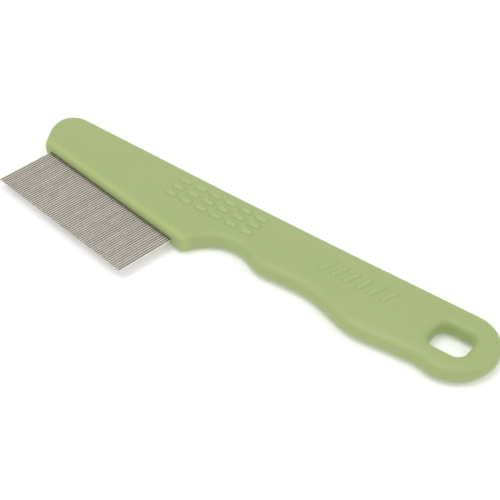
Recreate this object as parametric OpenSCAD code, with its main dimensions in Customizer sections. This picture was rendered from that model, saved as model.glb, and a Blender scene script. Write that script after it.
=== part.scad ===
// Flea comb: one row of fine steel wire teeth in the edge of a long moulded plastic handle.
// The comb lies flat: its underside is z = 0, the tooth row runs along X, and the teeth point to -Y.
// Layout points are measured from the outer side of the first tooth (x) and the handle's front face (y).

/* [Tooth row] */
// Number of wire teeth
tooth_count = 67; // [41:2:67]
// Diameter of the tooth wire
wire_d = 0.58; // [0.4:0.02:0.62]
// Length of the row, over the outer sides of the end teeth
row_w = 53.4; // [52:0.1:54.3]
// How far the teeth stand out of the handle
tooth_out = 18.1; // [12:0.1:24]
// Length of the rounded tooth tip
tip_len = 0.35; // [0.1:0.05:2]

/* [Handle] */
// Thickness of the handle
handle_t = 5.2; // [5:0.1:6.5]
// Slope of the back edge behind the teeth, in degrees
head_slope = 8; // [7.5:0.1:8.2]
// Slope of the back edge along the grip, in degrees
grip_slope = 9; // [8.7:0.1:9.3]
// Radius of the round end
end_r = 11.3; // [11:0.1:11.5]

/* [Hang hole] */
// Clear length of the hole, along the handle
hole_l = 10.4; // [9:0.1:11]
// Clear width of the hole
hole_w = 8.3; // [6.5:0.1:8.5]
// Radius of the hole's corners
hole_r = 2.6; // [2.5:0.1:3.2]

/* [Grip pads] */
// Pads in each row
pad_columns = 6; // [3:1:7]
// Rows of pads
pad_rows = 3; // [2:1:3]
// Height of the pads and ribs above the handle
pad_h = 0.6; // [0.2:0.05:0.7]
// Number of slanted ribs near the middle of the grip
rib_count = 6; // [3:1:7]

/* [Tooth channel] */
// Thickness of the folded steel strip
sheet_t = 0.35; // [0.25:0.05:0.4]
// Depth of the channel, front to back
channel_l = 5; // [4.5:0.1:6]
// How far the channel sits back from the handle's front face
channel_back = 0.6; // [0.3:0.1:1]

/* [Hidden] */
pair_count = floor(tooth_count / 2);
tooth_pitch = (row_w - wire_d) / (tooth_count - 1);
mid_z = handle_t / 2;
ring_turns = [0 : 15 : 90];             // angles of the rings around a soft edge

channel_gap = 0.9;                      // height between the channel's two leaves
channel_h = channel_gap + 2 * sheet_t;
channel_over = 0.9;                     // channel length past each end of the row
slot_end_gap = 0.2;                     // room between the channel and the cavity's ends and bottom
mouth_gap = 0.05;                       // room around the wires in the handle's front edge
mouth_h = wire_d + 2 * mouth_gap;
resin_back = 0.08;                      // how far the resin's face sits behind the handle's front face
root_gap = 1.1;                         // from the wires' root ends to the channel's bend
wire_in = channel_back + channel_l - root_gap;
channel_steps = 8;

lip_left = -2.5;                        // the front edge's ends
lip_right = row_w + 3.35;
head_left = -8.5;                       // far side of the head
end_right = 143.45;                     // far side of the round end
kink = [52.6, 24.15];                   // where the back edge changes slope
function back_y(x) = kink.y + (x - kink.x) * tan(x < kink.x ? head_slope : grip_slope);

// Outline of the handle, counter-clockwise from the front edge's left end. Each corner has its
// point, its radius and number of steps, and the width and depth of the soft edge that follows it.
OUTLINE = [
    [[lip_left, 0],                    3,           6,  2.4, 1.6],    // front edge, left end
    [[lip_right, 0],                   0.8,         6,  2,   1.6],    // front edge, right end
    [[63.4, 11.8],                     11,          16, 3.8, 2.1],    // notch for the first finger
    [[77.5, 8.25],                     10.5,        8,  4.1, 2.2],    // first swell
    [[92.8, 11.9],                     31,          10, 4.1, 2.2],    // long hollow
    [[109.6, 9.15],                    21,          10, 4.1, 2.2],    // second swell
    [[128, 14.05],                     12,          6,  3.8, 2.3],    // last hollow
    [[end_right, 12.55],               end_r,       18, 3.8, 2.3],    // round end, front half
    [[end_right, back_y(end_right)],   end_r - 0.5, 20, 2.1, 1.7],    // round end, back half
    [[90, back_y(90) - 0.2],           1200,        4,  2.1, 1.7],    // slight hollow in the back edge
    [kink,                             1200,        4,  2.1, 1.7],    // back edge, start of the grip
    [[head_left, back_y(head_left)],   6.2,         14, 1.8, 1.6],    // back corner of the head
    [[head_left, 7.65],                10,          8,  1.8, 1.6]     // side of the head
];
under_soft = 0.92;                      // soft edge of the underside, as a share of the upper one
hole_centre = [131.2, 24.75];
hole_soft = [2.4, 2.2];                 // width and depth of the hole's soft rim
min_corner = 0.25;                      // least corner radius of the flat faces

pad_size = [3.9, 2];
pad_pitch = [5.3, 3.3];
pads_centre = [53.2, 16.4];
pads_turn = 8.7;
pad_soft = 0.8;                         // corner radius and edge width of the pads
rib_soft = 0.6;
rib_size = [1.7, 5];
rib_pitch = 3.9;
rib_lean = 20;
ribs_centre = [100.9, 22.75];
rib_share = 0.65;                       // height of the ribs, as a share of the pads
rib_h = rib_share * pad_h;

function number_name(base, i) = str(base, i < 10 ? "0" : "", i);

// ---- outline geometry ----
function unit(v) = v / norm(v);
function left_of(v) = [-v.y, v.x];
function turned(v, a) = [v.x * cos(a) - v.y * sin(a), v.x * sin(a) + v.y * cos(a)];
function after(list, i) = list[(i + 1) % len(list)];
function before(list, i) = list[(i + len(list) - 1) % len(list)];
function slice_x(points) = [for (p = points) p.x];
function slice_y(points) = [for (p = points) p.y];

// Points of the arc that rounds corner p between directions d0 and d1.
function corner_arc(p, d0, d1, r, steps) =
    let (turn = atan2(cross(d0, d1), d0 * d1),
         arm = left_of(d0) * r * sign(turn),
         centre = p - d0 * r * tan(abs(turn) / 2) + arm)
    [for (k = [0 : steps]) centre + turned(-arm, turn * k / steps)];

// Meeting point of two edges through p, moved inwards by w0 and w1.
function inner_corner(p, d0, d1, w0, w1) =
    let (n0 = left_of(d0), n1 = left_of(d1), c = n0 * n1)
    p + (n0 * (w0 - c * w1) + n1 * (w1 - c * w0)) / (1 - c * c);

// Soft outline of a corner table: [outer point, inner point, depth] all the way round.
function soft_outline(table) = [for (i = [0 : len(table) - 1])
    let (p = table[i][0],
         d0 = unit(p - before(table, i)[0]),
         d1 = unit(after(table, i)[0] - p),
         r = table[i][1],
         steps = table[i][2],
         w0 = before(table, i)[3],
         w1 = table[i][3],
         q = inner_corner(p, d0, d1, w0, w1),
         inner_r = max(r - sign(cross(d0, d1)) * (w0 + w1) / 2, min_corner),
         outer = corner_arc(p, d0, d1, r, steps),
         inner = corner_arc(q, d0, d1, inner_r, steps),
         b0 = before(table, i)[4],
         b1 = table[i][4])
    for (k = [0 : steps]) [outer[k], inner[k], b0 + (b1 - b0) * k / steps]];

// One ring of a soft outline: turn 0 is the flat face, turn 90 the side wall. The edge's size is share.
function soft_ring(outline, turn, z, up, share = 1) =
    [for (s = outline)
        let (p = s[0] + (s[1] - s[0]) * share * (1 - sin(turn)))
        [p.x, p.y, z - up * share * s[2] * (1 - cos(turn))]];

// Corner table of a rounded rectangle about the origin.
function soft_rect(l, w, r, steps, soft_w, soft_d) =
    [for (s = [[-1, -1], [1, -1], [1, 1], [-1, 1]])
        [[s.x * l / 2, s.y * w / 2], r, steps, soft_w, soft_d]];

// Closed skin over a stack of rings, highest ring first.
module skin(rings) {
    n = len(rings[0]);
    last = len(rings) - 1;
    sides = [for (j = [0 : last - 1], i = [0 : n - 1])
        let (a = j * n + i,
             b = j * n + (i + 1) % n)
        each [[a, b, b + n], [a, b + n, a + n]]];
    caps = [[for (i = [n - 1 : -1 : 0]) i], [for (i = [0 : n - 1]) last * n + i]];
    polyhedron([for (ring = rings) each ring], concat(sides, caps));
}

// ---- placing ----
handle_outline = soft_outline(OUTLINE);
handle_edge = [for (s = handle_outline) s[0]];
span_x = [min(slice_x(handle_edge)), max(slice_x(handle_edge))];
span_y = [-tooth_out, max(slice_y(handle_edge))];
middle = [span_x[0] + span_x[1], span_y[0] + span_y[1]] / 2;

// Moves the layout so that the comb's bounding box is centred on the Z axis.
module centred() {
    translate([-middle.x, -middle.y, 0])
        children();
}

// ---- pieces ----
module soft_slab() {
    skin(concat(
        [for (turn = ring_turns) soft_ring(handle_outline, turn, handle_t, 1)],
        [for (turn = ring_turns) soft_ring(handle_outline, 90 - turn, 0, -1, under_soft)]));
}

module hang_hole() {
    past = 1;
    rim = soft_outline(soft_rect(hole_l + 2 * hole_soft.x, hole_w + 2 * hole_soft.x,
                                 hole_r + hole_soft.x, 10, hole_soft.x, hole_soft.y));
    flip = [for (s = rim) [s[1], s[0], s[2]]];
    translate(hole_centre)
        rotate(grip_slope)
            skin(concat(
                [soft_ring(flip, 0, handle_t + past, 1)],
                [for (turn = ring_turns) soft_ring(flip, turn, handle_t, 1)],
                [for (turn = ring_turns) soft_ring(flip, 90 - turn, 0, -1)],
                [soft_ring(flip, 0, -past, 1)]));
}

// A low pad with rounded edges, half sunk in the handle's flat face: four flattened balls in one skin.
module raised_pad(l, w, h, soft, lean = 0) {
    reach = [l, w] / 2 - [soft, soft];
    translate([0, 0, handle_t])
        hull()
            for (x = [-1, 1], y = [-1, 1])
                translate([x * reach.x + y * reach.y * tan(lean), y * reach.y, 0])
                    scale([1, 1, h / soft])
                        sphere(soft, $fn = 16);
}

module grip_pads() {
    translate(pads_centre)
        rotate(pads_turn)
            for (i = [0 : pad_columns - 1], j = [0 : pad_rows - 1])
                translate([(i - (pad_columns - 1) / 2) * pad_pitch.x,
                           (j - (pad_rows - 1) / 2) * pad_pitch.y])
                    raised_pad(pad_size.x, pad_size.y, pad_h, pad_soft);
}

module grip_ribs() {
    translate(ribs_centre)
        rotate(grip_slope)
            for (i = [0 : rib_count - 1])
                translate([(i - (rib_count - 1) / 2) * rib_pitch, 0])
                    raised_pad(rib_size.x, rib_size.y, rib_h, rib_soft, rib_lean);
}

// The cavity that holds the tooth channel, and its narrow mouth where the wires leave the front edge.
module channel_slot() {
    past = 2;
    over = channel_over + slot_end_gap;
    translate([-over, channel_back, mid_z - channel_h / 2])
        cube([row_w + 2 * over, channel_l + slot_end_gap, channel_h]);
    translate([-mouth_gap, -past, mid_z - mouth_h / 2])
        cube([row_w + 2 * mouth_gap, past + channel_back + slot_end_gap, mouth_h]);
}

module handle() {
    color([0.67, 0.73, 0.51])
        difference() {
            union() {
                soft_slab();
                grip_pads();
                grip_ribs();
            }
            hang_hole();
            channel_slot();
        }
}

// Side profile of a bar with a round back, from the mouth (left) to the bend; height h.
function bent_profile(front, back, h) =
    concat([[front, -h / 2]],
           [for (k = [0 : channel_steps])
               let (a = -90 + 180 * k / channel_steps)
               [back - h / 2 + h / 2 * cos(a), h / 2 * sin(a)]],
           [[front, h / 2]]);

// A side profile drawn out along the row, from x = from to x = to.
module along_row(from, to) {
    translate([from, 0, mid_z])
        rotate([90, 0, 90])
            linear_extrude(to - from)
                children();
}

module tooth_channel() {
    mouth = channel_back;
    bend = channel_back + channel_l;
    color([0.66, 0.66, 0.64])
        along_row(-channel_over, row_w + channel_over)
            difference() {
                polygon(bent_profile(mouth, bend, channel_h));
                polygon(bent_profile(mouth - 1, bend - sheet_t, channel_gap));
            }
}

// Resin between the channel's leaves, with a narrower nose that fills the mouth around the wires.
module root_resin() {
    bend = channel_back + channel_l - sheet_t;
    color([0.38, 0.38, 0.32])
        difference() {
            union() {
                along_row(-channel_over, row_w + channel_over)
                    polygon(bent_profile(channel_back, bend, channel_gap));
                translate([-mouth_gap, resin_back, mid_z - mouth_h / 2])
                    cube([row_w + 2 * mouth_gap, wire_in - resin_back, mouth_h]);
            }
            for (i = [0 : tooth_count - 1])
                tooth_at(i)
                    cylinder(d = wire_d, h = wire_in + 1, $fn = 24);
        }
}

// Puts a tooth that stands on z = 0 at place i of the row, root end first.
module tooth_at(i) {
    translate([wire_d / 2 + i * tooth_pitch, wire_in, mid_z])
        rotate([90, 0, 0])
            children();
}

// A straight wire with a rounded tip, turned about its own axis.
module wire_tooth() {
    l = wire_in + tooth_out;
    r = wire_d / 2;
    tip = [for (a = [0 : 18 : 90]) [r * cos(a), l - tip_len + tip_len * sin(a)]];
    color([0.72, 0.70, 0.67])
        rotate_extrude($fn = 24)
            polygon(concat([[0, 0], [r, 0]], tip));
}

module tooth_pair(i) {
    for (k = [0, 1])
        tooth_at(2 * (i - 1) + k)
            wire_tooth();
}

module end_tooth() {
    tooth_at(tooth_count - 1)
        wire_tooth();
}

centred() handle();
centred() tooth_channel();
centred() root_resin();
centred() end_tooth();
for (i = [1 : pair_count])
    centred() tooth_pair(i);
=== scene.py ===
"""Looks of the flea comb: a moulded green handle with a row of steel wire teeth."""
import math

import bpy
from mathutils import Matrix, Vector


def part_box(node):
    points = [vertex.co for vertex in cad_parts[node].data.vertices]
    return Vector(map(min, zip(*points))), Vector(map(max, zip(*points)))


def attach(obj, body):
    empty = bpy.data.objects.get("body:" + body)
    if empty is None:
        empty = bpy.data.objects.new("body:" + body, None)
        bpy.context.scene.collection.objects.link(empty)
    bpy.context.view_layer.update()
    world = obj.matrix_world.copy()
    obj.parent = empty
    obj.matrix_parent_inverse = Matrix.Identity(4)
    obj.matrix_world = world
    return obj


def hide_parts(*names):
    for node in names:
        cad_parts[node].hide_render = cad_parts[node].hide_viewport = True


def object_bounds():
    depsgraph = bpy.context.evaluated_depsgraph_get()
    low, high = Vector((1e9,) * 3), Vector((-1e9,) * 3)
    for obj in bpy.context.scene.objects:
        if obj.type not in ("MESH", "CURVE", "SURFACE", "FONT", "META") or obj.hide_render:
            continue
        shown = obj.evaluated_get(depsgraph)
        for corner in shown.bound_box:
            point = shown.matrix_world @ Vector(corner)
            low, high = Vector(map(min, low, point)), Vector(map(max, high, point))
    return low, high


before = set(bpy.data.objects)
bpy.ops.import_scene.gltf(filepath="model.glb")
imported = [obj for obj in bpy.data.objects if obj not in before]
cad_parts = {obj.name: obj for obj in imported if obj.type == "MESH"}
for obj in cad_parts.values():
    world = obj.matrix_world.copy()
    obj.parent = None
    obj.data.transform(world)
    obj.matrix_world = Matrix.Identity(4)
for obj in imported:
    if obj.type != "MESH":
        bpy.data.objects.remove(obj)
CAD_LOW, CAD_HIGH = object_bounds()

# Lengths are in metres, angles in degrees, and colours are sRGB from 0 to 255.
# The camera looks from this azimuth and elevation at the point AIM of the handle's upper face.
CAMERA_AZIMUTH = -46.7
CAMERA_ELEVATION = 41.4
CAMERA_DISTANCE = 0.3938
AIM = (0.0053, 0.00155)
# Lens and sensor width, in millimetres
CAMERA_LENS = 106.9
SENSOR = 36.0
# Nearest and furthest distance that the camera shows
CLIP_START = 0.01
CLIP_END = 20.0

# Plastic: two close shades, its flow marks and its pores
PLASTIC = (167, 184, 119)
PLASTIC_PALE = (171, 187, 124)
FLOW_COLOUR = (174, 189, 129)
PORE_COLOUR = (148, 167, 101)
# Painted light on the plastic: a painted highlight along the front edge, painted shade at the feet
# of the pads and ribs, and a painted highlight on their tops. Each mark starts and ends over these
# distances behind the front face or above the flat upper face.
EDGE_HIGHLIGHT = (177, 194, 121)
FEET_SHADE = (162, 179, 115)
TOPS_HIGHLIGHT = (175, 192, 126)
EDGE_RISE, EDGE_FALL = (0.0003, 0.0009), (0.0013, 0.003)
FEET_RISE, FEET_FALL = (0.00003, 0.00008), (0.00018, 0.0003)
TOPS_RISE = (0.00022, 0.0005)

# Wires, and how much of the painted shade's colour their flanks take, a painted shade where two
# wires face
WIRE_LIGHT = (236, 230, 218)
WIRE_DARK = (190, 184, 174)
WIRE_FLANK_SHADE = (84, 80, 71)
FLANK_SHADE_AMOUNT = 0.78
# Where the painted shade starts and is full, as a share of the wire's diameter off its axis
FLANK = (0.25, 0.47)
# How far past the row's end wires the painted shade fades out, in pitches
ROW_FADE = 0.1
# Most that one wire may turn to the dark shade
WIRE_SPREAD = 0.35
WIRE_ROUGHNESS = 0.24

# The folded strip that holds the wires' roots, and the resin in it
STRIP_LIGHT = (188, 186, 180)
STRIP_DARK = (140, 138, 132)
STRIP_ROUGHNESS = 0.32
RESIN = (136, 136, 112)
RESIN_PALE = (150, 150, 126)

# Suns: azimuth, elevation and strength, and how wide both are
KEY_SUN = (60.0, 75.0, 0.86)
FILL_SUN = (-120.0, 50.0, 0.34)
SUN_WIDTH = 35.0
# Strength of the even light from all round
ROOM_LIGHT = 0.64

# Floor: its two shades, its own faint light, half its side, and its gap under the comb
FLOOR_COLOUR = (247, 247, 247)
FLOOR_PALE = (249, 249, 249)
FLOOR_GLOW = 0.19
FLOOR_HALF = 3.0
FLOOR_GAP = 0.00002

# Handle shell: size of the remeshed cells, and how much it is smoothed
VOXEL = 0.00024
SMOOTHING = 0.5
SMOOTHING_STEPS = 6


# ---- node helpers ----
class Nodes:
    """A material's node tree, with short calls to add and join nodes."""

    def __init__(self, name):
        self.material = bpy.data.materials.new(name)
        self.material.use_nodes = True
        self.tree = self.material.node_tree
        self.shader = self.tree.nodes["Principled BSDF"]

    def add(self, kind, inputs=None, **settings):
        node = self.tree.nodes.new(kind)
        for key, value in settings.items():
            setattr(node, key, value)
        for key, value in (inputs or {}).items():
            self.put(node.inputs[key], value)
        return node

    def put(self, socket, value):
        if isinstance(value, bpy.types.NodeSocket):
            self.tree.links.new(value, socket)
        else:
            socket.default_value = value

    def math(self, operation, *values, clamp=False):
        node = self.add("ShaderNodeMath", operation=operation, use_clamp=clamp)
        for i, value in enumerate(values):
            self.put(node.inputs[i], value)
        return node.outputs[0]

    def place(self, scale=(1, 1, 1), offset=(0, 0, 0)):
        coords = self.add("ShaderNodeTexCoord")
        mapping = self.add("ShaderNodeMapping", {"Vector": coords.outputs["Object"],
                                                 "Scale": scale, "Location": offset})
        return mapping.outputs[0]

    def noise(self, where, scale, detail=2.0, roughness=0.5):
        node = self.add("ShaderNodeTexNoise", {"Vector": where, "Scale": scale,
                                               "Detail": detail, "Roughness": roughness})
        return node.outputs["Fac"]

    def spread(self, value, low, high, start=0.3, end=0.7):
        node = self.add("ShaderNodeMapRange", {"Value": value, "From Min": start, "From Max": end,
                                               "To Min": low, "To Max": high})
        return node.outputs[0]

    def mix(self, factor, first, second, blend="MIX"):
        node = self.add("ShaderNodeMix", data_type="RGBA", blend_type=blend)
        self.put(node.inputs[0], factor)
        self.put(node.inputs[6], first)
        self.put(node.inputs[7], second)
        return node.outputs[2]

    def bump(self, height, distance, strength=1.0, under=None):
        node = self.add("ShaderNodeBump", {"Height": height, "Distance": distance,
                                           "Strength": strength})
        if under is not None:
            self.put(node.inputs["Normal"], under)
        return node.outputs[0]

    def finish(self, **sockets):
        for key, value in sockets.items():
            self.put(self.shader.inputs[key.replace("_", " ")], value)
        return self.material


def linear(red, green, blue):
    """Linear colour of an sRGB one given in 0 to 255."""
    def one(c):
        c /= 255
        return c / 12.92 if c <= 0.04045 else ((c + 0.055) / 1.055) ** 2.4
    return (one(red), one(green), one(blue), 1.0)


def face_height():
    """Height of the handle's flat upper face: its slot is halfway up."""
    low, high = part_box("tooth_channel")
    return low.z + high.z


# ---- materials ----
def band(n, value, rise, fall):
    """1 where value lies between the two ramps rise and fall, each a start and an end; 0 outside."""
    return n.math("MULTIPLY", n.spread(value, 0.0, 1.0, *rise), n.spread(value, 1.0, 0.0, *fall))


def painted_highlights_and_shade(n, colour):
    """Painted light on the plastic: a painted highlight along the front edge and on the pads' tops,
    and painted shade at their feet.
    """
    place = n.add("ShaderNodeSeparateXYZ", {"Vector": n.place()})
    inward = n.math("SUBTRACT", place.outputs["Y"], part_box("handle")[0].y)
    above = n.math("SUBTRACT", place.outputs["Z"], face_height())
    # Masks of painted light: a highlight along the front edge, shade at the feet of the pads and
    # ribs, a highlight on their tops
    edge = band(n, inward, EDGE_RISE, EDGE_FALL)
    feet = band(n, above, FEET_RISE, FEET_FALL)
    tops = n.spread(above, 0.0, 1.0, *TOPS_RISE)
    colour = n.mix(edge, colour, linear(*EDGE_HIGHLIGHT))
    colour = n.mix(feet, colour, linear(*FEET_SHADE))
    return n.mix(tops, colour, linear(*TOPS_HIGHLIGHT))


def plastic_material():
    """Satin moulded plastic: fine eroded grain, faint flow marks, slightly uneven colour."""
    n = Nodes("handle_plastic")
    where = n.place()
    cloud = n.noise(where, scale=34.0, detail=3.0)
    flow = n.noise(n.place(scale=(1.0, 4.0, 4.0)), scale=60.0, detail=4.0)
    grain = n.noise(where, scale=5200.0, detail=2.0, roughness=0.6)
    pores = n.noise(where, scale=1900.0, detail=3.0, roughness=0.6)
    colour = n.mix(n.spread(cloud, 0.0, 1.0), linear(*PLASTIC), linear(*PLASTIC_PALE))
    colour = n.mix(n.spread(flow, 0.0, 0.35), colour, linear(*FLOW_COLOUR))
    colour = n.mix(n.spread(pores, 0.0, 0.12, start=0.6, end=0.8), colour, linear(*PORE_COLOUR))
    # Painted highlights on the front edge and the pad tops, and painted shade at the pads' feet
    colour = painted_highlights_and_shade(n, colour)
    rough = n.math("ADD", n.spread(pores, 0.40, 0.48), n.spread(flow, -0.02, 0.02))
    normal = n.bump(grain, distance=0.000012, strength=0.6)
    normal = n.bump(pores, distance=0.00002, strength=0.4, under=normal)
    return n.finish(Base_Color=colour, Roughness=rough, Normal=normal, IOR=1.49,
                    Subsurface_Weight=0.12, Subsurface_Scale=0.0012)


def steel_look(n, light, dark, base_rough):
    """Colour, roughness and normal of drawn steel, with fine lengthwise scratches and stains."""
    scratch = n.noise(n.place(scale=(1.0, 0.015, 1.0)), scale=12000.0, detail=2.0)
    stain = n.noise(n.place(scale=(1.0, 0.3, 1.0)), scale=300.0, detail=3.0)
    colour = n.mix(n.spread(stain, 0.0, 0.2), light, dark)
    rough = n.math("ADD", n.spread(stain, base_rough - 0.03, base_rough + 0.06),
                   n.spread(scratch, -0.03, 0.04))
    return colour, rough, n.bump(scratch, distance=0.000003, strength=0.5)


def wire_material():
    """Steel wires: slight differences from wire to wire, and painted shade on their flanks where two
    wires face.
    """
    pair_low, pair_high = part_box("tooth_pair_01")
    pitch = (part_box("tooth_pair_02")[0].x - pair_low.x) / 2
    wire_d = pair_high.x - pair_low.x - pitch
    first = pair_low.x + wire_d / 2
    dark = linear(*WIRE_DARK)
    n = Nodes("tooth_steel")
    x = n.add("ShaderNodeSeparateXYZ",
              {"Vector": n.add("ShaderNodeTexCoord").outputs["Object"]}).outputs["X"]
    place = n.math("DIVIDE", n.math("SUBTRACT", x, first), pitch)
    number = n.math("ROUND", place)
    lot = n.add("ShaderNodeTexWhiteNoise", {"W": number}, noise_dimensions="1D").outputs["Value"]
    off_axis = n.math("ABSOLUTE", n.math("SUBTRACT", place, number))
    last = (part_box("end_tooth")[0].x - pair_low.x) / pitch
    between = band(n, place, (-ROW_FADE, ROW_FADE), (last - ROW_FADE, last + ROW_FADE))
    # Painted shade on each wire's flanks where two wires face, fading out past the row's ends
    flank = n.spread(off_axis, 0.0, FLANK_SHADE_AMOUNT, *(share * wire_d / pitch for share in FLANK))
    flank_shade = n.math("MULTIPLY", flank, between)
    colour, rough, normal = steel_look(n, linear(*WIRE_LIGHT), dark, WIRE_ROUGHNESS)
    colour = n.mix(n.math("MULTIPLY", lot, WIRE_SPREAD), colour, dark)
    colour = n.mix(flank_shade, colour, linear(*WIRE_FLANK_SHADE))
    return n.finish(Base_Color=colour, Roughness=rough, Normal=normal, Metallic=1.0)


def strip_material():
    """The folded strip's mill-finished steel."""
    n = Nodes("channel_steel")
    colour, rough, normal = steel_look(n, linear(*STRIP_LIGHT), linear(*STRIP_DARK),
                                       STRIP_ROUGHNESS)
    return n.finish(Base_Color=colour, Roughness=rough, Normal=normal, Metallic=1.0)


def resin_material():
    """Dull cast resin with small bubbles."""
    n = Nodes("resin")
    where = n.place()
    cloud = n.noise(where, scale=900.0, detail=3.0)
    bubble = n.add("ShaderNodeTexVoronoi", {"Vector": where, "Scale": 2500.0}).outputs["Distance"]
    colour = n.mix(n.spread(cloud, 0.0, 1.0), linear(*RESIN), linear(*RESIN_PALE))
    rough = n.spread(cloud, 0.25, 0.4)
    normal = n.bump(bubble, distance=0.00003, strength=0.5)
    return n.finish(Base_Color=colour, Roughness=rough, Normal=normal, IOR=1.52)


# ---- pieces ----
def paint(obj, material):
    """Gives an object one material."""
    obj.data.materials.clear()
    obj.data.materials.append(material)


def apply_modifiers(obj):
    """Makes the object's modified shape its mesh."""
    graph = bpy.context.evaluated_depsgraph_get()
    mesh = bpy.data.meshes.new_from_object(obj.evaluated_get(graph))
    obj.modifiers.clear()
    obj.data = mesh


def soft_handle(material):
    """The handle's shell from the CAD solid, with its sharp joins rounded as a mould leaves them."""
    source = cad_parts["handle"]
    shell = bpy.data.objects.new("handle_shell", source.data.copy())
    bpy.context.scene.collection.objects.link(shell)
    remesh = shell.modifiers.new("remesh", "REMESH")
    remesh.mode = "VOXEL"
    remesh.voxel_size = VOXEL
    remesh.use_smooth_shade = True
    smooth = shell.modifiers.new("smooth", "SMOOTH")
    smooth.factor = SMOOTHING
    smooth.iterations = SMOOTHING_STEPS
    apply_modifiers(shell)
    for polygon in shell.data.polygons:
        polygon.use_smooth = True
    paint(shell, material)
    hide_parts("handle")
    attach(shell, "root")


def paint_metal():
    """Materials of the CAD nodes that stay: the wires, the strip and the resin."""
    teeth = wire_material()
    for name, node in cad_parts.items():
        if "tooth_pair" in name or name == "end_tooth":
            paint(node, teeth)
    paint(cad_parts["tooth_channel"], strip_material())
    paint(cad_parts["root_resin"], resin_material())


# ---- stage ----
def floor():
    """A wide pale floor just under the comb."""
    half = FLOOR_HALF
    mesh = bpy.data.meshes.new("floor")
    z = CAD_LOW.z - FLOOR_GAP
    mesh.from_pydata([(-half, -half, z), (half, -half, z), (half, half, z), (-half, half, z)],
                     [], [(0, 1, 2, 3)])
    obj = bpy.data.objects.new("floor", mesh)
    bpy.context.scene.collection.objects.link(obj)
    n = Nodes("floor_paper")
    fibre = n.noise(n.place(), scale=700.0, detail=3.0)
    colour = n.mix(n.spread(fibre, 0.0, 1.0), linear(*FLOOR_COLOUR), linear(*FLOOR_PALE))
    paint(obj, n.finish(Base_Color=colour, Roughness=0.9, Emission_Color=(1, 1, 1, 1),
                        Emission_Strength=FLOOR_GLOW))


def look_from(azimuth, elevation):
    """Unit vector from the comb towards a place, in degrees round and above it."""
    a, e = math.radians(azimuth), math.radians(elevation)
    return Vector((-math.sin(a) * math.cos(e), -math.cos(a) * math.cos(e), math.sin(e)))


def camera():
    """Camera at the photograph's viewing angle."""
    data = bpy.data.cameras.new("camera")
    data.lens = CAMERA_LENS
    data.sensor_width = SENSOR
    obj = bpy.data.objects.new("camera", data)
    bpy.context.scene.collection.objects.link(obj)
    back = look_from(CAMERA_AZIMUTH, CAMERA_ELEVATION)
    target = Vector((*AIM, face_height()))
    obj.location = target + back * CAMERA_DISTANCE
    obj.rotation_euler = (-back).to_track_quat("-Z", "Y").to_euler()
    data.clip_start = CLIP_START
    data.clip_end = CLIP_END
    bpy.context.scene.camera = obj


def soft_sun(name, azimuth, elevation, strength):
    """A wide soft light from far off, in degrees round and above the comb."""
    data = bpy.data.lights.new(name, "SUN")
    data.energy = strength
    data.angle = math.radians(SUN_WIDTH)
    obj = bpy.data.objects.new(name, data)
    bpy.context.scene.collection.objects.link(obj)
    obj.rotation_euler = (-look_from(azimuth, elevation)).to_track_quat("-Z", "Y").to_euler()


def lights():
    """Even white room light with two soft suns."""
    scene = bpy.context.scene
    scene.view_settings.view_transform = "Standard"
    world = bpy.data.worlds.new("studio")
    scene.world = world
    world.use_nodes = True
    background = world.node_tree.nodes["Background"]
    background.inputs["Color"].default_value = (1, 1, 1, 1)
    background.inputs["Strength"].default_value = ROOM_LIGHT
    soft_sun("key", *KEY_SUN)
    soft_sun("fill", *FILL_SUN)


camera()
lights()
floor()
soft_handle(plastic_material())
paint_metal()
